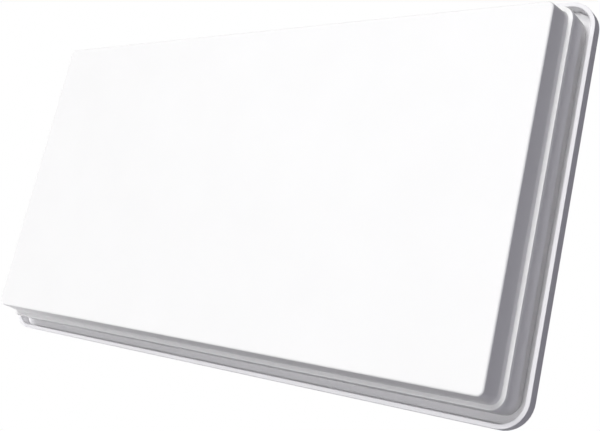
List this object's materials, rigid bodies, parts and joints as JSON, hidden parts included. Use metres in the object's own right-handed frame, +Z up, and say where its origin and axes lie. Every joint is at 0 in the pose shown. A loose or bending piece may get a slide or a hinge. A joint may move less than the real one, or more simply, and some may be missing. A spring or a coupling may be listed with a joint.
{
  "type": "flat satellite antenna",
  "caption": "Flat rectangular satellite antenna panel: stepped white radome over a horn array, seated in a rimmed back tray with a bolted mounting hub and cable sockets.",
  "frame": {"origin": "centre of the rear mounting hub's face, in the middle of the bolt circle", "axes": "+Z up, +Y out of the back towards the bracket, front face towards -Y, +X right seen from the front"},
  "size_m": [0.542, 0.068, 0.2924],
  "materials": {
    "radome_white": "satin moulded, fine grain",
    "tray_white": "satin moulded, fine grain",
    "seal_rubber": "matt",
    "screw_steel": "zinc plated",
    "plated_moulding": "metal plated",
    "cast_alloy": "as cast",
    "lid_alloy": "rolled sheet",
    "board_laminate": "solder mask",
    "insert_brass": "turned",
    "socket_nickel": "nickel plated",
    "insulator_white": "plain",
    "vent_grey": "moulded"
  },
  "bodies": {
    "root": {"radome": "radome_white", "back_tray": "tray_white", "seal_ring": "seal_rubber", "cover_screws": "screw_steel", "array_screws": "screw_steel", "stack_screws": "screw_steel", "lid_screws": "screw_steel", "board_screws": "screw_steel", "converter_screws": "screw_steel", "horn_plate": "plated_moulding", "front_feed_plate": "plated_moulding", "rear_feed_plate": "plated_moulding", "converter_housing": "cast_alloy", "converter_lid": "lid_alloy", "converter_board": "board_laminate", "probe_lower": "insert_brass", "probe_upper": "insert_brass", "cable_socket_left": "socket_nickel", "cable_socket_right": "socket_nickel", "socket_insulator_left": "insulator_white", "socket_insulator_right": "insulator_white", "socket_grommet_left": "seal_rubber", "socket_grommet_right": "seal_rubber", "mount_inserts": "insert_brass", "vent_plug": "vent_grey"}
  },
  "joints": []
}
